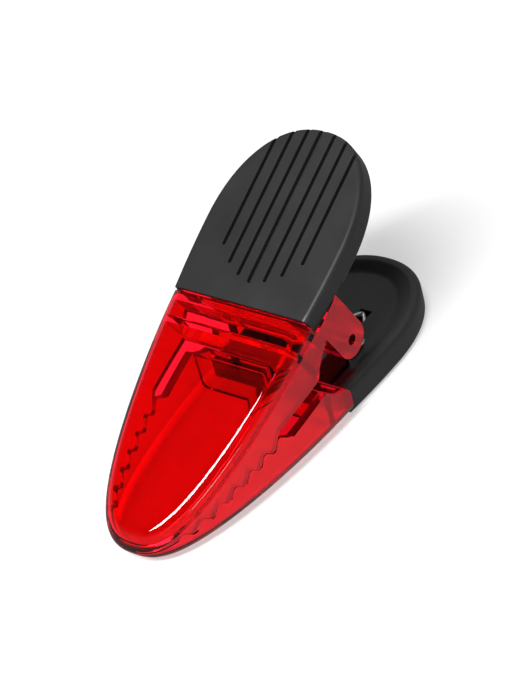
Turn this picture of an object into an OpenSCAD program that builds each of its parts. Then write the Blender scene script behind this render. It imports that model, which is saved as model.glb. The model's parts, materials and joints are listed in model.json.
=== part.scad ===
// Spring clip with two hinged levers: clear moulded jaws, rubber-sleeved handles, one torsion spring.
// Each lever is drawn lying on its flat outer face, with X towards the handle, Z inwards and
// the hinge line over the origin. The lower lever stays there. The upper one is its mirror
// image, swung round the hinge until the two rows of teeth mesh.

/* [Levers] */
// Hinge line to the tip of the jaws
jaw_len = 62; // [58:0.5:66]
// Hinge line to the end of the handles
handle_len = 38.5; // [36:0.5:44]
// Width across the jaws
lever_w = 38; // [37:0.5:40]
// Height of the hinge line over a lever's outer face
hinge_h = 17.5; // [17:0.25:18.5]
// Angle between the two outer faces with the jaws shut
spread = 25; // [24:0.5:26]

/* [Jaws] */
// Thickness of the flat outer plate
plate_t = 2.4; // [2:0.1:2.8]
// Thickness of the side walls
wall_t = 2; // [1.6:0.1:2.4]
// Radius of the rounded edge between the outer plate and the side walls
jaw_round = 5; // [3:0.25:5]
// Distance from the hinge line to the joint between jaw and grip
seam_x = 5.1; // [4.9:0.1:5.3]
// Number of teeth on each jaw
teeth = 6; // [4:1:6]
// Distance between two teeth
tooth_pitch = 4.68; // [4.4:0.02:4.8]
// Height of a tooth
tooth_h = 1.8; // [1.2:0.1:2.2]

/* [Ears] */
// Radius of the rounded end of an ear
ear_r = 4.35; // [4:0.05:4.5]
// Thickness of an outer ear, on the upper lever
outer_ear_t = 6.2; // [5:0.1:6.2]
// Thickness of an inner ear, on the lower lever
inner_ear_t = 2.4; // [2:0.1:2.4]
// Diameter of the hinge pin
pin_d = 2.4; // [2:0.1:3]

/* [Grips] */
// Distance from a jaw's side wall in to the widest part of a grip
grip_inset = 0.6; // [0.4:0.1:0.8]
// Depth of the raised rim round a grip
rim_h = 6.3; // [6:0.1:7]
// Depth of the grip's inner floor
floor_h = 4.8; // [4.6:0.1:5.2]
// Number of grooves on each side of the middle one
side_grooves = 3; // [1:1:3]
// Distance between two grooves
groove_pitch = 3.5; // [3:0.1:3.8]

/* [Spring] */
// Diameter of the wire
wire_d = 1.1; // [0.9:0.05:1.2]
// Radius of the coil at the middle of the wire
coil_r = 3; // [2.8:0.1:3.2]
// Full turns of the coil
turns = 10; // [8:1:10]

/* [Hidden] */

half_w = lever_w / 2;
half_spread = spread / 2;
inner_h = 22;          // deeper than any jaw wall
body_gap = 0.3;        // between the two levers
mould_gap = 0.05;      // between a grip and its core
curve_step = 6;        // degrees between two points of an outline

// Jaw walls, front to back
edge_from = 15;        // the rounding stops short of the side wall by this angle
relief = 2.5;          // the side wall stands back this far from the meeting plane
relief_run = 3.4;      // from the rearmost tooth's crest
lobe_x = -12.5;
lobe_h = 12.3;
rear_h = 8.9;
rear_round = 2.4;
rear_wall_t = 2;
cell_len = 3.7;        // hollow between the rear wall and the cross wall
cross_wall_t = 1.6;
hollow_round = 1.5;

// Teeth, measured along the meeting plane
upper_first = -30.9;
lower_first = upper_first + tooth_pitch / 2;
tooth_flat = 0.9;
flank = tooth_pitch / 2 - tooth_flat;
valley_s = tooth_pitch / 2 - tooth_flat / 2;
valley_h = (body_gap + tooth_h) / 2;
crest_h = (body_gap - tooth_h) / 2;
tip_s = upper_first - (teeth - 0.5) * tooth_pitch - tooth_flat / 2 - flank / 2;

// Core of the handle
core_from = 1.6;
core_to = 3.4;
core_inset = 2.4;
seam_gap = 0.4;

// Ears: the upper pair stands outside the lower pair
upper_ear_y = half_w - grip_inset;
lower_ear_y = upper_ear_y - outer_ear_t - body_gap;
sleeve_t = 1.5;        // step for the rubber over the root of an upper ear
bore_d = pin_d + 0.1;
pin_recess = 1.5;      // from an upper ear's outer face to the end of the pin
pin_len = 2 * (upper_ear_y - pin_recess);

// Grips
grip_w = lever_w - 2 * grip_inset;
waist = 0.7;           // each side of a grip comes in by this from its widest place to the seam
grip_round = 1.2;
rim_t = 1.8;
rim_round = 1.4;
dish_run = 4;          // width of the slope from the floor up to the rim
rim_x = 7.7;           // the upper grip's rim starts here, behind the ears
end_run = 26;          // length of the handle's rounded end
groove_w = 0.85;
mid_groove_w = 1.4;
groove_h = 1.2;
groove_bow = 0.06;     // the outer grooves start further back by this times y squared
pocket_from = [16.4, -6.4];           // hollow in the lower floor, where the wire comes out
pocket_to = [21.6, -3.4];
pocket_depth = 1.15;

// Spring
wire_sides = 10;
coil_y = -4.2;         // end of the coil that the lower leg leaves
turn_pitch = wire_d * 1.02;
turn_steps = 20;
leave_a = 246;         // where the lower leg leaves the coil
leg_x = 20.8;
buried = 1.1;          // depth of the wire's middle where rubber covers it
wire_floor = floor_h + wire_d / 2;

// A point s along the meeting plane and h outwards from it, in a lever's own frame
function from_plane(s, h) = [
    s * cos(half_spread) + h * sin(half_spread),
    hinge_h + s * sin(half_spread) - h * cos(half_spread)
];

// Point of the jaw's outline at angle t, 0 at the tip and 90 at the seam
function jaw_point(t, inset) = [
    -seam_x - (jaw_len - seam_x - inset) * cos(t),
    (half_w - inset) * pow(1 - pow(cos(t), 1.6), 1 / 2.7)
];

// Point of the grip's round end at angle t, 0 at the handle's end
function grip_end(t, inset) = [
    handle_len - inset - (end_run - inset) * (1 - cos(t)),
    (grip_w / 2 - inset) * pow(1 - pow(cos(t), 2.2), 1 / 2.2)
];

// Point of the grip's side, which comes in a little towards the seam
function grip_side(x, inset) =
    let (widest_x = handle_len - end_run)
    [x, grip_w / 2 - inset - waist * pow((widest_x - x) / (widest_x + seam_x), 2)];

function both_sides(half) = concat(
    half,
    [for (i = [len(half) - 1 : -1 : 1]) [half[i][0], -half[i][1]]]
);

function jaw_outline(inset) = both_sides(
    [for (t = [0 : curve_step : 90]) jaw_point(t, inset)]
);

function grip_outline(inset, front) = both_sides(concat(
    [for (t = [0 : curve_step : 90]) grip_end(t, inset)],
    [for (u = [0.25 : 0.25 : 1])
        grip_side((handle_len - end_run) * (1 - u) + front * u, inset)]
));

// One tooth of the side view, from its front valley to its rear valley
function tooth(at) = [
    from_plane(at - valley_s, valley_h),
    from_plane(at - tooth_flat / 2, crest_h),
    from_plane(at + tooth_flat / 2, crest_h),
    from_plane(at + valley_s, valley_h)
];

// The lower jaw has one tooth more, whose front flank ends on the meeting plane
upper_teeth = concat(
    [from_plane(tip_s + flank / 2, valley_h)],
    [for (i = [teeth - 1 : -1 : 0]) each tooth(upper_first - i * tooth_pitch)]
);
lower_row = [for (i = [teeth : -1 : 0]) each tooth(lower_first - i * tooth_pitch)];
lower_teeth = [for (i = [1 : len(lower_row) - 1]) lower_row[i]];

// Side view of a jaw, from the seam forward along its outer face, and back along its teeth
function jaw_side(edge, first) = concat(
    [[-seam_x, 0], [-jaw_len - 1, 0]],
    [from_plane(-jaw_len - 3, body_gap / 2), from_plane(tip_s, body_gap / 2)],
    edge,
    [from_plane(first + relief_run, relief)],
    [[lobe_x - 1, lobe_h - 0.2], [lobe_x, lobe_h], [lobe_x + 0.5, lobe_h - 0.3]],
    [[-10.5, 10.6], [-8.6, 9.4]],
    [for (t = [0 : 15 : 90]) [
        -seam_x - rear_round * (1 - sin(t)),
        rear_h - rear_round * (1 - cos(t))
    ]]
);

module along_y(w) {
    rotate([90, 0, 0]) linear_extrude(w, center = true) children();
}

// Solid under the outline. Its rounded edge meets the side wall in a crisp line.
module rounded_slab(r, h) {
    hull() {
        for (t = [edge_from : 15 : 90])
            translate([0, 0, r * (1 - sin(t))])
                linear_extrude(0.01) polygon(jaw_outline(r * (cos(edge_from) - cos(t))));
        translate([0, 0, h - 0.01]) linear_extrude(0.01) polygon(jaw_outline(0));
    }
}

module hollow() {
    cross_x = -seam_x - rear_wall_t - cell_len - cross_wall_t;
    intersection() {
        hull() {
            translate([0, 0, plate_t]) linear_extrude(inner_h)
                polygon(jaw_outline(wall_t + hollow_round));
            translate([0, 0, plate_t + hollow_round]) linear_extrude(inner_h)
                polygon(jaw_outline(wall_t));
        }
        union() {
            translate([-jaw_len, -half_w, 0]) cube([jaw_len + cross_x, lever_w, inner_h]);
            translate([cross_x + cross_wall_t, -half_w, 0]) cube([cell_len, lever_w, inner_h]);
        }
    }
}

module jaw_shell(side) {
    intersection() {
        difference() {
            rounded_slab(jaw_round, inner_h);
            hollow();
        }
        along_y(lever_w + 1) polygon(side);
    }
}

module core() {
    translate([0, 0, core_from]) linear_extrude(core_to - core_from)
        polygon(grip_outline(core_inset, -seam_x - 1));
}

// One ear of thickness t, with its outer face at y
module ear_blank(y, t) {
    root_x = -seam_x - 0.5;
    translate([root_x, y - t, core_from]) cube([ear_r - root_x, t, rear_h - core_from]);
    translate([-ear_r, y - t, core_from]) cube([2 * ear_r, t, hinge_h - core_from]);
    translate([0, y, hinge_h]) rotate([90, 0, 0]) cylinder(h = t, r = ear_r, $fn = 64);
}

module ears(y, t) {
    for (s = [0, 1]) mirror([0, s, 0]) ear_blank(y, t);
}

module hinge_bore() {
    translate([0, 0, hinge_h]) rotate([90, 0, 0])
        cylinder(h = lever_w + 2, d = bore_d, center = true, $fn = 48);
}

// Room for the rubber outside the roots of the upper ears
module sleeve_steps() {
    for (s = [0, 1]) mirror([0, s, 0])
        translate([-seam_x - 1, upper_ear_y - sleeve_t, 0])
            cube([handle_len, sleeve_t + 1, floor_h]);
}

module lower_jaw_shape() {
    difference() {
        union() {
            jaw_shell(jaw_side(lower_teeth, lower_first));
            core();
            ears(lower_ear_y, inner_ear_t);
        }
        hinge_bore();
    }
}

module upper_jaw_shape() {
    difference() {
        union() {
            jaw_shell(jaw_side(upper_teeth, upper_first));
            core();
            difference() {
                ears(upper_ear_y, outer_ear_t);
                sleeve_steps();
            }
        }
        hinge_bore();
    }
}

module grip_slab(inset, from_h, to_h, front) {
    translate([0, 0, from_h]) linear_extrude(to_h - from_h) polygon(grip_outline(inset, front));
}

module grip_body(front) {
    low = grip_round * 0.3;
    high = rim_round * 0.3;
    hull() {
        grip_slab(grip_round, 0, floor_h, front);
        grip_slab(low, low, floor_h, front);
        grip_slab(0, grip_round, rim_h - rim_round, front);
        grip_slab(high, floor_h, rim_h - high, front);
        grip_slab(rim_round, floor_h, rim_h, front);
    }
}

// Space above the grip's floor, with a soft slope up to the rim
module dish(front) {
    rise = rim_h - floor_h;
    hull() {
        grip_slab(rim_t + dish_run, floor_h, rim_h + 1, front);
        grip_slab(rim_t + dish_run * 0.3, floor_h + rise * 0.8, rim_h + 1, front);
        grip_slab(rim_t, rim_h, rim_h + 1, front);
    }
}

module groove(y, w) {
    front = 1 + groove_bow * y * y;
    translate([front, y - w / 2, -1]) cube([handle_len, w, groove_h + 1]);
    translate([front, y, -1]) cylinder(h = groove_h + 1, d = w, $fn = 24);
}

module ear_slots(y, t) {
    for (s = [0, 1]) mirror([0, s, 0])
        translate([-seam_x - 1, y - t - mould_gap, core_from])
            cube([ear_r + seam_x + 1 + mould_gap, t + 2 * mould_gap, rim_h]);
}

// Rubber sleeve: pad outside, floor inside and a raised rim round it
module grip_shape() {
    front = -seam_x + seam_gap;
    difference() {
        grip_body(front);
        dish(front - 1);
        translate([0, 0, core_from - mould_gap])
            linear_extrude(core_to - core_from + 2 * mould_gap)
                polygon(grip_outline(core_inset - mould_gap, -seam_x - 1));
        for (i = [-side_grooves : side_grooves])
            groove(i * groove_pitch, i == 0 ? mid_groove_w : groove_w);
    }
}

module lower_grip_shape() {
    difference() {
        grip_shape();
        ear_slots(lower_ear_y, inner_ear_t);
        translate([pocket_from[0], pocket_from[1], floor_h - pocket_depth])
            cube([pocket_to[0] - pocket_from[0], pocket_to[1] - pocket_from[1], rim_h]);
    }
}

// The sleeve covers the outside of the upper ears' roots, and its rim starts behind them
module upper_grip_shape() {
    front = -seam_x + seam_gap;
    difference() {
        grip_shape();
        translate([front - 1, -half_w - 1, floor_h])
            cube([rim_x - front + 1, lever_w + 2, rim_h]);
        difference() {
            ear_slots(upper_ear_y, outer_ear_t);
            for (s = [0, 1]) mirror([0, s, 0])
                translate([-seam_x - 1, upper_ear_y - sleeve_t + mould_gap, 0])
                    cube([lever_w, lever_w, floor_h + 1]);
        }
    }
}

// Where a point of the lower lever's side view is on the upper lever
function from_upper(x, z) = [
    x * cos(spread) - (hinge_h - z) * sin(spread),
    hinge_h + x * sin(spread) + (hinge_h - z) * cos(spread)
];

// Mirror image of a lever, swung up round the hinge line
module at_upper() {
    translate([0, 0, hinge_h]) rotate([0, -spread, 0]) mirror([0, 0, 1])
        translate([0, 0, -hinge_h]) children();
}

function unit(v) = v / norm(v);

// Direction of the route at point i
function heading(route, i) = unit(
    route[min(i + 1, len(route) - 1)] - route[max(i - 1, 0)]
);

// Ring of the wire round point i; no stretch of the wire runs along Y
function ring(route, i) =
    let (
        along = heading(route, i),
        side = unit([0, 1, 0] - along[1] * along),
        up = cross(along, side)
    )
    [for (k = [0 : wire_sides - 1])
        route[i] + wire_d / 2 * (
            cos(360 * k / wire_sides) * side + sin(360 * k / wire_sides) * up
        )];

module wire(route) {
    n = len(route);
    last = (n - 1) * wire_sides;
    polyhedron(
        points = [for (i = [0 : n - 1]) each ring(route, i)],
        faces = concat(
            [[for (k = [0 : wire_sides - 1]) k]],
            [[for (k = [wire_sides - 1 : -1 : 0]) last + k]],
            [for (i = [0 : n - 2], k = [0 : wire_sides - 1]) let (next = (k + 1) % wire_sides) [
                i * wire_sides + k,
                (i + 1) * wire_sides + k,
                (i + 1) * wire_sides + next,
                i * wire_sides + next
            ]]
        )
    );
}

// Point of the coil at angle a, measured from +X towards +Z round the hinge line
function coil_point(a, y) = [coil_r * cos(a), y, hinge_h + coil_r * sin(a)];

// From the foot that is held in the lower grip's rubber up to the coil
lower_leg = [
    [6.9, -10.8, wire_floor + 0.1],
    [9.8, -10.8, wire_floor],
    [11.2, -10.7, wire_floor - 0.4],
    [12.4, -10.2, wire_floor - buried],
    [18.2, -6.4, wire_floor - buried],
    [19.9, -5.1, wire_floor - buried],
    [leg_x, coil_y, wire_floor - buried],
    [leg_x - 0.9, coil_y, wire_floor - 0.5]
];

module spring_coil_shape() {
    wire(concat(
        lower_leg,
        [for (i = [0 : turns * turn_steps])
            coil_point(leave_a - 360 * i / turn_steps, coil_y + turn_pitch * i / turn_steps)]
    ));
}

// One more turn beside the coil, then the leg up to the upper grip's floor
module spring_upper_leg_shape() {
    y = coil_y + turn_pitch * (turns + 1);
    tip = from_upper(leg_x, wire_floor);
    wire(concat(
        [for (i = [4 : turn_steps])
            coil_point(spread - leave_a - 360 * i / turn_steps, y)],
        [[tip[0], y, tip[1]]]
    ));
}

module lower_jaw() { color("#d8101c") lower_jaw_shape(); }
module upper_jaw() { color("#e01420") at_upper() upper_jaw_shape(); }
module lower_grip() { color("#2c2b2c") lower_grip_shape(); }
module upper_grip() { color("#333334") at_upper() upper_grip_shape(); }
module hinge_pin() {
    color("#b9bcc0") translate([0, 0, hinge_h]) rotate([90, 0, 0])
        cylinder(h = pin_len, d = pin_d, center = true, $fn = 48);
}
module spring_coil() { color("#c4c8cc") spring_coil_shape(); }
module spring_upper_leg() { color("#c4c8cc") spring_upper_leg_shape(); }

lower_jaw();
upper_jaw();
lower_grip();
upper_grip();
hinge_pin();
spring_coil();
spring_upper_leg();
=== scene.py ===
"""Looks for the spring clip: smooth see-through jaws, grooved rubber grips and a bright wire spring."""

import json
import math

import bmesh
import bpy
from mathutils import Matrix, Vector


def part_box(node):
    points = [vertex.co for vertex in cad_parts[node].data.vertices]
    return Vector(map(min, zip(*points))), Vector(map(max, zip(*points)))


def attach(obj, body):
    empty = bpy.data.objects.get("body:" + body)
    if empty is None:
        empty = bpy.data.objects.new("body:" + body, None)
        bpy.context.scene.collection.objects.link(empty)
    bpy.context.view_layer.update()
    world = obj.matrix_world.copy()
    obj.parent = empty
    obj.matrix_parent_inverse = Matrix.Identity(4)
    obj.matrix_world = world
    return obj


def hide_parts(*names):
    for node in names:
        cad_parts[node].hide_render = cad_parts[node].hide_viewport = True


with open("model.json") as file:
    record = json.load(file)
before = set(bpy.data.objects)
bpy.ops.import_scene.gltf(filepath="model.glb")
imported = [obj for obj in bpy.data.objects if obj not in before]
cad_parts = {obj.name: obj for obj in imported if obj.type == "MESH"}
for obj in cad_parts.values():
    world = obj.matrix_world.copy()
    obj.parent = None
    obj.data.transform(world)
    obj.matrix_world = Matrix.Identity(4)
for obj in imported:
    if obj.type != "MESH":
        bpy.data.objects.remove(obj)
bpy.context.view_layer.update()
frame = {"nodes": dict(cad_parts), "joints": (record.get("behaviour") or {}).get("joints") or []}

# Face attribute that is 1 where the mould leaves the plastic satin.
SATIN = "satin"

# ---------------------------------------------------------------- sizes, in millimetres
MM = 0.001
hinge = frame["joints"][0]["pos_m"]
grip_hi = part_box("lower_grip")[1]
jaw_lo, jaw_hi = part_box("lower_jaw")
pin_lo, pin_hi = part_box("hinge_pin")

HINGE_H = hinge[2] / MM
HALF_W = jaw_hi.y / MM
GRIP_HALF_W = grip_hi.y / MM
HANDLE_LEN = grip_hi.x / MM
JAW_LEN = -jaw_lo.x / MM
RIM_H = grip_hi.z / MM
PIN_R = (pin_hi.z - pin_lo.z) / 2 / MM
SPREAD = math.radians(25)
HALF_SPREAD = SPREAD / 2

# Jaws.
SEAM_X = 5.1
SEAM_GAP = 0.4
PLATE_T = 2.4
WALL_T = 2.0
JAW_ROUND = 5.0
JAW_TAPER = 1.6
JAW_FULLNESS = 2.7
EDGE_FROM = 15  # degrees
INNER_H = 22.0  # taller than the side view that is cut from it
HOLLOW_ROUND = 1.5
BODY_GAP = 0.3
JAW_EDGE = 0.14

# Teeth: S runs along the plane where the jaws meet, and H outwards from it.
TEETH = 6
TOOTH_PITCH = 4.68
TOOTH_H = 1.8
TOOTH_FLAT = 0.9
UPPER_FIRST = -30.9
LOWER_FIRST = UPPER_FIRST + TOOTH_PITCH / 2
FLANK = TOOTH_PITCH / 2 - TOOTH_FLAT
VALLEY_S = TOOTH_PITCH / 2 - TOOTH_FLAT / 2
VALLEY_H = (BODY_GAP + TOOTH_H) / 2
CREST_H = (BODY_GAP - TOOTH_H) / 2
TIP_S = UPPER_FIRST - (TEETH - 0.5) * TOOTH_PITCH - TOOTH_FLAT / 2 - FLANK / 2

# The relieved stretch behind the teeth, and the walls at the jaw's rear.
RELIEF = 2.5
RELIEF_RUN = 3.4
LOBE = (-12.5, 12.3)
BEHIND_LOBE = [(-10.5, 10.6), (-8.6, 9.4)]
REAR_H = 8.9
REAR_ROUND = 2.4
REAR_WALL_T = 2.0
CELL_LEN = 3.7
CROSS_WALL_T = 1.6

# Cores and ears, and where the rubber starts on them.
CORE_FROM = 1.6
CORE_TO = 3.4
CORE_INSET = 2.4
EAR_R = 4.35
OUTER_EAR_T = 6.2
INNER_EAR_T = 2.4
EAR_FOOT = 0.5
PIN_GAP = 0.05
UPPER_EAR_Y = GRIP_HALF_W
LOWER_EAR_Y = UPPER_EAR_Y - OUTER_EAR_T - BODY_GAP
SLEEVE_T = 1.5
FLOOR_H = 4.8
MOULD_GAP = 0.05

# Grips.
WAIST = 0.7
GRIP_ROUND = 1.2
GRIP_EDGE = 0.12
GRIP_FULLNESS = 2.2
RIM_T = 1.8
RIM_ROUND = 1.4
DISH_RUN = 4.0
RIM_X = 7.7
END_RUN = 26.0
SIDE_GROOVES = 3
GROOVE_PITCH = 3.5
GROOVE_W = 0.85
MID_GROOVE_W = 1.4
GROOVE_H = 1.2
GROOVE_START = 1
GROOVE_BOW = 0.06
POCKET_LOW = (16.4, -6.4)
POCKET_HIGH = (21.6, -3.4)
POCKET_DEPTH = 1.15

# Spring.
WIRE_D = 1.1
COIL_R = 3.0
COIL_Y = -4.2
TURNS = 10
TURN_PITCH = WIRE_D * 1.02
COIL_STEPS = 40
LEAVE_A = 246.0  # degrees
LEG_X = 20.8
BURIED = 1.1
WIRE_FLOOR = FLOOR_H + WIRE_D / 2


# ---------------------------------------------------------------- outlines
def from_plane(s, h):
    """Point s along the jaws' meeting plane and h outwards from it, in a lever's own side view."""
    return (
        s * math.cos(HALF_SPREAD) + h * math.sin(HALF_SPREAD),
        HINGE_H + s * math.sin(HALF_SPREAD) - h * math.cos(HALF_SPREAD),
    )


def quarter_turn(steps):
    """Angles from 0 to 90 degrees, in radians."""
    return [math.radians(90 * i / steps) for i in range(steps + 1)]


def both_sides(half):
    """Whole outline from the half with y above 0, whose first point is on the middle line."""
    return half + [(x, -y) for x, y in reversed(half[1:])]


def jaw_half_width(c, inset=0.0):
    """Half the jaw's width at c, which runs from 0 at the seam to 1 at the tip."""
    return (HALF_W - inset) * (1 - c**JAW_TAPER) ** (1 / JAW_FULLNESS)


def jaw_outline(inset, steps=110):
    """Plan of the jaw from its tip to the seam and back."""
    half = []
    for i in range(steps + 1):
        c = math.cos(math.pi / 2 * i / steps)
        half.append((-SEAM_X - (JAW_LEN - SEAM_X - inset) * c, jaw_half_width(c, inset)))
    return both_sides(half)


def along_jaw(x):
    """From 0 at the seam and behind it to 1 at the tip."""
    return min(1.0, max(0.0, (-SEAM_X - x) / (JAW_LEN - SEAM_X)))


def grip_outline(inset, front, steps=48):
    """Plan of the grip: its round end, then sides that come in a little towards the seam."""
    widest_x = HANDLE_LEN - END_RUN
    half = []
    for i in range(steps + 1):
        c = math.cos(math.pi / 2 * i / steps)
        x = HANDLE_LEN - inset - (END_RUN - inset) * (1 - c)
        bulge = (1 - c**GRIP_FULLNESS) ** (1 / GRIP_FULLNESS)
        half.append((x, (GRIP_HALF_W - inset) * bulge))
    side_steps = 8
    for i in range(1, side_steps + 1):
        x = widest_x + (front - widest_x) * i / side_steps
        drop = WAIST * ((widest_x - x) / (widest_x + SEAM_X)) ** 2
        half.append((x, GRIP_HALF_W - inset - drop))
    return both_sides(half)


def tooth(at):
    """Side view of one tooth, from the valley before it to the valley behind it."""
    return [
        from_plane(at - VALLEY_S, VALLEY_H),
        from_plane(at - TOOTH_FLAT / 2, CREST_H),
        from_plane(at + TOOTH_FLAT / 2, CREST_H),
        from_plane(at + VALLEY_S, VALLEY_H),
    ]


def teeth_row(first, count):
    """Side view of a row of teeth, from the one nearest the tip back to first."""
    return [p for i in reversed(range(count)) for p in tooth(first - i * TOOTH_PITCH)]


def jaw_side(edge, first):
    """Side view of a jaw: forward along its outer face and back along its teeth."""
    return [
        (-SEAM_X, -1),
        (-JAW_LEN - 1, -1),
        from_plane(-JAW_LEN - 3, BODY_GAP / 2),
        from_plane(TIP_S, BODY_GAP / 2),
        *edge,
        from_plane(first + RELIEF_RUN, RELIEF),
        (LOBE[0] - 1, LOBE[1] - 0.2),
        LOBE,
        (LOBE[0] + 0.5, LOBE[1] - 0.3),
        *BEHIND_LOBE,
        *[
            (-SEAM_X - REAR_ROUND * (1 - math.sin(t)), REAR_H - REAR_ROUND * (1 - math.cos(t)))
            for t in quarter_turn(12)
        ],
    ]


UPPER_TEETH = [from_plane(TIP_S + FLANK / 2, VALLEY_H), *teeth_row(UPPER_FIRST, TEETH)]
LOWER_TEETH = teeth_row(LOWER_FIRST, TEETH + 1)[1:]


# ---------------------------------------------------------------- mesh helpers
def new_object(name, bm):
    """Object in the scene from a bmesh, which is used up."""
    bmesh.ops.recalc_face_normals(bm, faces=bm.faces)
    mesh = bpy.data.meshes.new(name)
    bm.to_mesh(mesh)
    bm.free()
    obj = bpy.data.objects.new(name, mesh)
    bpy.context.scene.collection.objects.link(obj)
    return obj


def loft(name, rings):
    """Closed solid through rings of the same number of points."""
    bm = bmesh.new()
    rows = [[bm.verts.new(p) for p in ring] for ring in rings]
    for low, high in zip(rows, rows[1:]):
        for i in range(len(low)):
            j = (i + 1) % len(low)
            bm.faces.new((low[i], low[j], high[j], high[i]))
    bm.faces.new(list(reversed(rows[0])))
    bm.faces.new(rows[-1])
    return new_object(name, bm)


def prism_z(name, outline, low, high):
    """Plan pulled straight up from low to high."""
    return loft(name, [[(x, y, z) for x, y in outline] for z in (low, high)])


def prism_y(name, outline, low, high):
    """Side view pulled straight across from low to high."""
    return loft(name, [[(x, y, z) for x, z in outline] for y in (low, high)])


def block(name, low, high):
    """Box between two corners, used only to cut."""
    outline = [(low[0], low[1]), (high[0], low[1]), (high[0], high[1]), (low[0], high[1])]
    return prism_z(name, outline, low[2], high[2])


def rod_y(name, x, z, r, low, high, sides):
    """Round rod straight across the clip, used only to cut."""
    angles = [2 * math.pi * i / sides for i in range(sides)]
    ring = [(x + r * math.cos(t), z + r * math.sin(t)) for t in angles]
    return prism_y(name, ring, low, high)


def carve(base, tool, operation):
    """Boolean of base with tool, applied. The tool is used up."""
    modifier = base.modifiers.new("cut", "BOOLEAN")
    modifier.operation = operation
    modifier.solver = "EXACT"
    modifier.object = tool
    apply_modifiers(base)
    bpy.data.objects.remove(tool)
    return base


def apply_modifiers(obj):
    """Keeps what the modifiers make as the object's own mesh."""
    graph = bpy.context.evaluated_depsgraph_get()
    mesh = bpy.data.meshes.new_from_object(obj.evaluated_get(graph))
    obj.modifiers.clear()
    old = obj.data
    obj.data = mesh
    bpy.data.meshes.remove(old)


def mirrored(obj):
    """Copy of obj on the other side of the clip's middle."""
    copy = obj.copy()
    copy.data = obj.data.copy()
    bpy.context.scene.collection.objects.link(copy)
    copy.data.transform(Matrix.Diagonal((1, -1, 1, 1)))
    copy.data.flip_normals()
    return copy


def on_both_sides(base, tool, operation):
    """Boolean of base with tool and with its mirror image."""
    other = mirrored(tool)
    carve(base, tool, operation)
    return carve(base, other, operation)


def clean(obj):
    """Joins doubled points and flat faces that the cuts left behind."""
    nearest = 0.002
    flat = math.radians(0.01)
    bm = bmesh.new()
    bm.from_mesh(obj.data)
    bmesh.ops.remove_doubles(bm, verts=bm.verts, dist=nearest)
    bmesh.ops.dissolve_degenerate(bm, edges=bm.edges, dist=nearest)
    bmesh.ops.dissolve_limit(bm, angle_limit=flat, verts=bm.verts, edges=bm.edges)
    bm.to_mesh(obj.data)
    bm.free()


def finish_edges(obj, width, angle=11):
    """Small rounding on every sharp edge, and smooth shading that keeps flat faces flat."""
    bevel = obj.modifiers.new("edges", "BEVEL")
    bevel.width = width * MM
    bevel.segments = 2
    bevel.limit_method = "ANGLE"
    bevel.angle_limit = math.radians(angle)
    bevel.use_clamp_overlap = True
    apply_modifiers(obj)
    smooth(obj, 2 * angle)
    weighted = obj.modifiers.new("normals", "WEIGHTED_NORMAL")
    weighted.mode = "FACE_AREA"
    weighted.weight = 60
    weighted.keep_sharp = True
    apply_modifiers(obj)
    return obj


def smooth(obj, angle):
    """Smooth shading that breaks where faces meet at more than angle degrees."""
    for face in obj.data.polygons:
        face.use_smooth = True
    obj.data.set_sharp_from_angle(angle=math.radians(angle))


def to_upper():
    """From a lever lying on its outer face to the upper lever's place."""
    lift = Matrix.Translation((0, 0, HINGE_H))
    turn = Matrix.Rotation(-SPREAD, 4, "Y")
    return lift @ turn @ Matrix.Diagonal((1, 1, -1, 1)) @ lift.inverted()


def settle(obj, upper):
    """Puts a lever's piece in its place, in metres."""
    if upper:
        obj.data.transform(to_upper())
        obj.data.flip_normals()
    obj.data.transform(Matrix.Scale(MM, 4))
    return obj


# ---------------------------------------------------------------- jaws
def rounded_slab(name):
    """Solid under the outline, whose rounded edge meets the side wall in a crisp line."""
    rings = []
    steps = 20
    crisp = math.cos(math.radians(EDGE_FROM))
    for i in range(steps + 1):
        t = math.radians(90 - (90 - EDGE_FROM) * i / steps)
        z, inset = JAW_ROUND * (1 - math.sin(t)), JAW_ROUND * (crisp - math.cos(t))
        rings.append([(x, y, z) for x, y in jaw_outline(inset)])
    rings.append([(x, y, INNER_H) for x, y in jaw_outline(0)])
    return loft(name, rings)


def hollow(name, from_x, to_x):
    """Space under the outer plate between two places along the jaw."""
    rings = []
    for t in reversed(quarter_turn(10)):
        z = PLATE_T + HOLLOW_ROUND * (1 - math.sin(t))
        inset = WALL_T + HOLLOW_ROUND * (1 - math.cos(t))
        rings.append([(x, y, z) for x, y in jaw_outline(inset)])
    rings.append([(x, y, INNER_H + 1) for x, y in jaw_outline(WALL_T)])
    space = loft(name, rings)
    limit = block(name + "_limit", (from_x, -HALF_W, 0), (to_x, HALF_W, INNER_H + 2))
    return carve(space, limit, "INTERSECT")


def ear(y, thick):
    """One ear with its outer face at y: its round end, its sides and the foot in front of them."""
    steps = 48
    angles = [math.pi * i / steps for i in range(steps + 1)]
    end = [(EAR_R * math.cos(t), HINGE_H + EAR_R * math.sin(t)) for t in angles]
    foot = [
        (-EAR_R, REAR_H),
        (-SEAM_X - EAR_FOOT, REAR_H),
        (-SEAM_X - EAR_FOOT, CORE_FROM),
        (EAR_R, CORE_FROM),
    ]
    return prism_y("ear", end + foot, y - thick, y)


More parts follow.
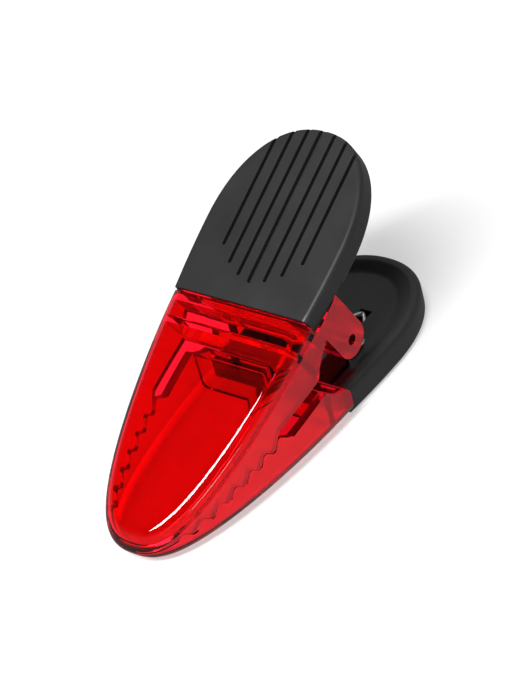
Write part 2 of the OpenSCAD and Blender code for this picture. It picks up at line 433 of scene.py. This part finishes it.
def jaw(name, upper):
    """One jaw with its two ears and the core of its handle."""
    edge, first = (UPPER_TEETH, UPPER_FIRST) if upper else (LOWER_TEETH, LOWER_FIRST)
    cell_x = -SEAM_X - REAR_WALL_T - CELL_LEN
    base = rounded_slab(name)
    side = prism_y("side", jaw_side(edge, first), -HALF_W - 1, HALF_W + 1)
    carve(base, side, "INTERSECT")
    carve(base, hollow("front_hollow", -JAW_LEN, cell_x - CROSS_WALL_T), "DIFFERENCE")
    carve(base, hollow("rear_hollow", cell_x, cell_x + CELL_LEN), "DIFFERENCE")
    core = prism_z("core", grip_outline(CORE_INSET, -SEAM_X - 1), CORE_FROM, CORE_TO)
    carve(base, core, "UNION")
    if upper:
        tab = ear(UPPER_EAR_Y, OUTER_EAR_T)
        low = (-SEAM_X - 1, UPPER_EAR_Y - SLEEVE_T, 0)
        step = block("step", low, (HANDLE_LEN, HALF_W + 1, FLOOR_H))
        carve(tab, step, "DIFFERENCE")
    else:
        tab = ear(LOWER_EAR_Y, INNER_EAR_T)
    on_both_sides(base, tab, "UNION")
    bore = rod_y("bore", 0, HINGE_H, PIN_R + PIN_GAP, -HALF_W - 1, HALF_W + 1, 48)
    carve(base, bore, "DIFFERENCE")
    clean(base)
    finish_edges(settle(base, upper), JAW_EDGE)
    mark_satin(base, upper)
    return base


def mark_satin(shell, upper):
    """Marks the side walls' and ears' outer faces, which the mould leaves satin."""
    skin, steep, lowest = 0.6, 0.3, JAW_ROUND * 0.7
    back = to_upper().inverted() if upper else Matrix()
    mark = shell.data.attributes.new(SATIN, "FLOAT", "FACE")
    for face, value in zip(shell.data.polygons, mark.data):
        x, y, z = back @ (face.center / MM)
        edge = jaw_half_width(along_jaw(x)) if x < -SEAM_X else UPPER_EAR_Y
        upright = abs((back.to_3x3() @ face.normal).z) < steep
        outside = abs(y) > edge - skin and z > lowest
        value.value = 1.0 if upright and outside else 0.0


# ---------------------------------------------------------------- grips
def grip_rings(front):
    """Rounded outside of a grip, from its outer face to the top of its rim."""
    rings = []
    steps = 10
    for t in reversed(quarter_turn(steps)):
        z, inset = GRIP_ROUND * (1 - math.sin(t)), GRIP_ROUND * (1 - math.cos(t))
        rings.append([(x, y, z) for x, y in grip_outline(inset, front)])
    for t in quarter_turn(steps):
        inset = RIM_ROUND * (1 - math.cos(t))
        z = RIM_H - RIM_ROUND * (1 - math.sin(t))
        rings.append([(x, y, z) for x, y in grip_outline(inset, front)])
    return rings


def dish(front):
    """Space above the grip's floor, with a soft slope up to the rim."""
    rise = RIM_H - FLOOR_H + MOULD_GAP
    steps = 16
    rings = []
    for i in range(steps + 1):
        u = i / steps
        inset = RIM_T + DISH_RUN * (1 - u)
        z = FLOOR_H + rise * (1 - math.cos(math.pi * u)) / 2
        rings.append([(x, y, z) for x, y in grip_outline(inset, front)])
    rings.append([(x, y, RIM_H + 1) for x, y in grip_outline(RIM_T, front)])
    return loft("dish", rings)


def groove(y, width):
    """Space of one groove. The further out it is, the further from the seam it starts."""
    start = GROOVE_START + GROOVE_BOW * y * y
    end = [(HANDLE_LEN + 1, y - width / 2), (HANDLE_LEN + 1, y + width / 2)]
    steps = 20
    arc = [math.radians(90 + 180 * i / steps) for i in range(steps + 1)]
    nose = [(start + width / 2 * math.cos(t), y + width / 2 * math.sin(t)) for t in arc]
    return prism_z("groove", end + nose, -1, GROOVE_H)


def grip(name, upper):
    """One rubber sleeve, with room inside for the core and the ears it is moulded round."""
    front = -SEAM_X + SEAM_GAP
    base = loft(name, grip_rings(front))
    carve(base, dish(front - 1), "DIFFERENCE")
    core = prism_z(
        "core_space",
        grip_outline(CORE_INSET - MOULD_GAP, -SEAM_X - 1),
        CORE_FROM - MOULD_GAP,
        CORE_TO + MOULD_GAP,
    )
    carve(base, core, "DIFFERENCE")
    if upper:
        step = block("step", (front - 1, -HALF_W, FLOOR_H), (RIM_X, HALF_W, RIM_H + 1))
        carve(base, step, "DIFFERENCE")
        inner, outer = UPPER_EAR_Y - OUTER_EAR_T, UPPER_EAR_Y - SLEEVE_T
    else:
        low, high = (*POCKET_LOW, FLOOR_H - POCKET_DEPTH), (*POCKET_HIGH, RIM_H + 1)
        carve(base, block("pocket", low, high), "DIFFERENCE")
        inner, outer = LOWER_EAR_Y - INNER_EAR_T, LOWER_EAR_Y
    slot = block(
        "slot",
        (-SEAM_X - 1, inner - MOULD_GAP, CORE_FROM),
        (EAR_R + MOULD_GAP, outer + MOULD_GAP, RIM_H + 1),
    )
    on_both_sides(base, slot, "DIFFERENCE")
    for i in range(-SIDE_GROOVES, SIDE_GROOVES + 1):
        width = MID_GROOVE_W if i == 0 else GROOVE_W
        carve(base, groove(i * GROOVE_PITCH, width), "DIFFERENCE")
    clean(base)
    return finish_edges(settle(base, upper), GRIP_EDGE)


# ---------------------------------------------------------------- wire
def wire(name, route):
    """Round wire along a route of points in millimetres."""
    curve = bpy.data.curves.new(name, "CURVE")
    curve.dimensions = "3D"
    curve.bevel_depth = WIRE_D / 2 * MM
    curve.bevel_resolution = 6
    curve.use_fill_caps = True
    spline = curve.splines.new("POLY")
    spline.points.add(len(route) - 1)
    for point, at in zip(spline.points, route):
        point.co = (*(c * MM for c in at), 1)
    line = bpy.data.objects.new(name + "_line", curve)
    bpy.context.scene.collection.objects.link(line)
    graph = bpy.context.evaluated_depsgraph_get()
    mesh = bpy.data.meshes.new_from_object(line.evaluated_get(graph))
    bpy.data.objects.remove(line)
    made = bpy.data.objects.new(name, mesh)
    bpy.context.scene.collection.objects.link(made)
    smooth(made, 50)
    return made


def coil_point(angle, y):
    """Place on the coil's middle line, with angle in degrees and y along the pin."""
    t = math.radians(angle)
    return (COIL_R * math.cos(t), y, HINGE_H + COIL_R * math.sin(t))


def rounded(points):
    """Route through given points with its corners eased."""
    steps, longest = 6, 1.2
    out = [points[0]]
    for a, b, c in zip(points, points[1:], points[2:]):
        a, b, c = Vector(a), Vector(b), Vector(c)
        reach = min(0.45 * (b - a).length, 0.45 * (c - b).length, longest)
        p, q = b + (a - b).normalized() * reach, b + (c - b).normalized() * reach
        for i in range(steps + 1):
            t = i / steps
            out.append(tuple((1 - t) ** 2 * p + 2 * t * (1 - t) * b + t**2 * q))
    out.append(points[-1])
    return out


def from_upper(x, z):
    """Where a point of the lower lever's side view is on the upper lever."""
    reach = HINGE_H - z
    return (
        x * math.cos(SPREAD) - reach * math.sin(SPREAD),
        HINGE_H + x * math.sin(SPREAD) + reach * math.cos(SPREAD),
    )


def lower_spring():
    """Coil on the pin with its lower leg, whose foot runs on through the rubber."""
    start = coil_point(LEAVE_A, COIL_Y)
    leg = [
        (6.9, -10.8, WIRE_FLOOR + 0.1),
        (9.8, -10.8, WIRE_FLOOR),
        (11.2, -10.7, WIRE_FLOOR - 0.4),
        (12.4, -10.2, WIRE_FLOOR - BURIED),
        (18.2, -6.4, WIRE_FLOOR - BURIED),
        (19.9, -5.1, WIRE_FLOOR - BURIED),
        (LEG_X, COIL_Y, WIRE_FLOOR - BURIED),
        (LEG_X - 0.9, COIL_Y, WIRE_FLOOR - 0.5),
        start,
    ]
    coil = [
        coil_point(LEAVE_A - 360 * i / COIL_STEPS, COIL_Y + TURN_PITCH * i / COIL_STEPS)
        for i in range(1, TURNS * COIL_STEPS + 1)
    ]
    return wire("spring_wire", rounded(leg) + coil)


def upper_spring():
    """The spring's last turn with its upper leg."""
    first = 8
    y = COIL_Y + TURN_PITCH * (TURNS + 1)
    end = from_upper(LEG_X, WIRE_FLOOR)
    turn = [
        coil_point(math.degrees(SPREAD) - LEAVE_A - 360 * i / COIL_STEPS, y)
        for i in range(first, COIL_STEPS + 1)
    ]
    return wire("spring_leg", turn + [(end[0], y, end[1])])


# ---------------------------------------------------------------- materials
def material(name):
    """New material with its nodes, its links and its shader."""
    made = bpy.data.materials.new(name)
    made.use_nodes = True
    nodes = made.node_tree.nodes
    return made, nodes, made.node_tree.links, nodes["Principled BSDF"]


def noise(nodes, links, scale, detail, roughness=0.55):
    """Noise fixed to the object, with about scale features to the metre."""
    coords = nodes.new("ShaderNodeTexCoord")
    made = nodes.new("ShaderNodeTexNoise")
    made.inputs["Scale"].default_value = scale
    made.inputs["Detail"].default_value = detail
    made.inputs["Roughness"].default_value = roughness
    links.new(coords.outputs["Object"], made.inputs["Vector"])
    return made.outputs["Fac"]


def ramp(nodes, links, factor, stops):
    """Colour ramp over factor, with a place and a colour for each stop."""
    made = nodes.new("ShaderNodeValToRGB")
    band = made.color_ramp
    while len(band.elements) < len(stops):
        band.elements.new(0.5)
    for element, (at, colour) in zip(band.elements, stops):
        element.position = at
        element.color = (*colour, 1)
    links.new(factor, made.inputs["Fac"])
    return made.outputs["Color"]


def grey(value):
    return (value, value, value)


def bump(nodes, links, height, strength, distance):
    """Normal for a surface that height raises by up to distance metres."""
    made = nodes.new("ShaderNodeBump")
    made.inputs["Strength"].default_value = strength
    made.inputs["Distance"].default_value = distance
    links.new(height, made.inputs["Height"])
    return made.outputs["Normal"]


def red_plastic():
    """See-through red moulding: polished outer plate, satin side walls and ears."""
    made, nodes, links, shader = material("red_plastic")
    flow = noise(nodes, links, 60, 2.0)
    links.new(
        ramp(nodes, links, flow, [(0.3, (0.95, 0.006, 0.022)), (0.7, (0.98, 0.009, 0.030))]),
        shader.inputs["Base Color"],
    )
    satin = nodes.new("ShaderNodeAttribute")
    satin.attribute_name = SATIN
    links.new(
        ramp(nodes, links, satin.outputs["Fac"], [(0.0, grey(0.02)), (1.0, grey(0.30))]),
        shader.inputs["Roughness"],
    )
    shader.inputs["IOR"].default_value = 1.45
    shader.inputs["Specular IOR Level"].default_value = 0.32
    links.new(
        ramp(nodes, links, satin.outputs["Fac"], [(0.0, grey(1.0)), (1.0, grey(0.68))]),
        shader.inputs["Transmission Weight"],
    )
    links.new(bump(nodes, links, flow, 0.02, 0.0002), shader.inputs["Normal"])
    return made


def black_rubber():
    """Satin moulded rubber: fine grain, a little lighter and duller where fingers have worn it."""
    made, nodes, links, shader = material("black_rubber")
    wear = noise(nodes, links, 45, 5.0)
    links.new(
        ramp(nodes, links, wear, [(0.3, (0.013, 0.013, 0.0135)), (0.75, (0.019, 0.019, 0.020))]),
        shader.inputs["Base Color"],
    )
    shader.inputs["Specular IOR Level"].default_value = 0.5
    links.new(
        ramp(nodes, links, wear, [(0.3, grey(0.40)), (0.8, grey(0.52))]),
        shader.inputs["Roughness"],
    )
    grain = noise(nodes, links, 3200, 6.0, 0.7)
    links.new(bump(nodes, links, grain, 0.35, 0.00004), shader.inputs["Normal"])
    return made


def bright_wire():
    """Zinc-plated spring wire with faint drawing marks."""
    made, nodes, links, shader = material("bright_wire")
    shader.inputs["Metallic"].default_value = 1.0
    marks = noise(nodes, links, 1500, 3.0)
    links.new(
        ramp(nodes, links, marks, [(0.3, (0.62, 0.63, 0.64)), (0.7, (0.80, 0.81, 0.82))]),
        shader.inputs["Base Color"],
    )
    links.new(
        ramp(nodes, links, marks, [(0.3, grey(0.14)), (0.8, grey(0.3))]),
        shader.inputs["Roughness"],
    )
    links.new(bump(nodes, links, marks, 0.1, 0.00002), shader.inputs["Normal"])
    return made


def steel_pin():
    """Drawn steel rod, duller than the spring."""
    made, nodes, links, shader = material("steel_pin")
    shader.inputs["Metallic"].default_value = 1.0
    marks = noise(nodes, links, 700, 4.0)
    links.new(
        ramp(nodes, links, marks, [(0.3, grey(0.34)), (0.7, grey(0.5))]),
        shader.inputs["Base Color"],
    )
    links.new(
        ramp(nodes, links, marks, [(0.3, grey(0.25)), (0.8, grey(0.42))]),
        shader.inputs["Roughness"],
    )
    return made


def paint(obj, made):
    obj.data.materials.clear()
    obj.data.materials.append(made)


# ---------------------------------------------------------------- pieces
red, rubber, bright, steel = red_plastic(), black_rubber(), bright_wire(), steel_pin()

for part, upper in (("lower", False), ("upper", True)):
    body = part + "_lever"
    shell = jaw(part + "_shell", upper)
    paint(shell, red)
    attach(shell, body)
    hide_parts(part + "_jaw")
    sleeve = grip(part + "_sleeve", upper)
    paint(sleeve, rubber)
    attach(sleeve, body)
    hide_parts(part + "_grip")

for spring, body, node in (
    (lower_spring(), "lower_lever", "spring_coil"),
    (upper_spring(), "upper_lever", "spring_upper_leg"),
):
    paint(spring, bright)
    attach(spring, body)
    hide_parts(node)

paint(frame["nodes"]["hinge_pin"], steel)


# ---------------------------------------------------------------- stage, light and camera
def floor():
    """Pale light table, just under the clip. The clip's gloss doesn't show it."""
    size, drop = 3.0, 0.0002
    bm = bmesh.new()
    corners = [(-size, -size), (size, -size), (size, size), (-size, size)]
    bm.faces.new([bm.verts.new((x, y, -drop)) for x, y in corners])
    obj = new_object("floor", bm)
    made, nodes, links, shader = material("pale_floor")
    shader.inputs["Base Color"].default_value = (0.5, 0.5, 0.5, 1)
    shader.inputs["Roughness"].default_value = 0.8
    shader.inputs["Emission Color"].default_value = (1, 1, 1, 1)
    shader.inputs["Emission Strength"].default_value = 0.5
    paint(obj, made)
    obj.visible_glossy = False


def strip_light(name, shape, start, end, width, radiance):
    """Soft box that runs from start to end and faces the clip."""
    clip = Vector((-0.02, 0, 0.02))
    start, end = Vector(start), Vector(end)
    place = (start + end) / 2
    length = (end - start).length
    facing = (place - clip).normalized()
    across = (end - start).cross(facing).normalized()
    along = facing.cross(across)
    data = bpy.data.lights.new(name, "AREA")
    data.shape = shape
    data.size, data.size_y = width, length
    data.energy = radiance * math.pi * width * length
    obj = bpy.data.objects.new(name, data)
    turn = Matrix((across, along, facing)).transposed().to_4x4()
    obj.matrix_world = Matrix.Translation(place) @ turn
    bpy.context.scene.collection.objects.link(obj)


def studio():
    """Grey walls between a dark ceiling and a grey bench, with soft boxes over the clip."""
    world = bpy.data.worlds.new("studio")
    world.use_nodes = True
    nodes, links = world.node_tree.nodes, world.node_tree.links
    coords = nodes.new("ShaderNodeTexCoord")
    split = nodes.new("ShaderNodeSeparateXYZ")
    links.new(coords.outputs["Generated"], split.inputs["Vector"])
    height = nodes.new("ShaderNodeMapRange")
    height.inputs["From Min"].default_value = -1.0
    links.new(split.outputs["Z"], height.inputs["Value"])
    # Each stop's place runs from 0, straight down, to 1, straight up.
    bench, wall, ceiling = grey(0.30), grey(0.35), grey(0.04)
    stops = [(0.44, bench), (0.52, wall), (0.65, wall), (0.77, ceiling)]
    shade = ramp(nodes, links, height.outputs["Result"], stops)
    links.new(shade, nodes["Background"].inputs["Color"])
    nodes["Background"].inputs["Strength"].default_value = 1.0
    bpy.context.scene.world = world
    # Places and widths are in metres.
    strip_light("key", "ELLIPSE", (-0.19, -0.21, 0.62), (-0.62, 0.10, 0.62), 0.15, 35)
    strip_light("edge", "ELLIPSE", (-0.185, -0.668, 0.285), (-0.409, -0.599, 0.192), 0.045, 6)
    strip_light("panel", "RECTANGLE", (0.45, 0.45, 0.5), (0.45, -0.2, 0.62), 0.35, 0.8)


def camera():
    """At the photograph's angle: 45 degrees round towards the jaws, 38 up, rolled by 15.6."""
    azimuth, elevation, roll = math.radians(-45.0), math.radians(37.95), math.radians(15.6)
    distance = 0.640
    focal, picture_h = 2948, 689
    aim_right, aim_up = -0.00389, -0.00528
    back = Vector(
        (
            math.sin(azimuth) * math.cos(elevation),
            -math.cos(azimuth) * math.cos(elevation),
            math.sin(elevation),
        )
    )
    data = bpy.data.cameras.new("camera")
    data.sensor_fit = "VERTICAL"
    data.sensor_height = 36
    data.lens = data.sensor_height * focal / picture_h
    turn = (-back).to_track_quat("-Z", "Y") @ Matrix.Rotation(-roll, 4, "Z").to_quaternion()
    right, up = turn @ Vector((1, 0, 0)), turn @ Vector((0, 1, 0))
    aim = Vector((0, 0, HINGE_H * MM)) + right * aim_right + up * aim_up
    obj = bpy.data.objects.new("camera", data)
    obj.location = aim + back * distance
    obj.rotation_mode = "QUATERNION"
    obj.rotation_quaternion = turn
    data.clip_start, data.clip_end = 0.01, 20
    bpy.context.scene.collection.objects.link(obj)
    bpy.context.scene.camera = obj
    bpy.context.scene.view_settings.view_transform = "Standard"


floor()
studio()
camera()
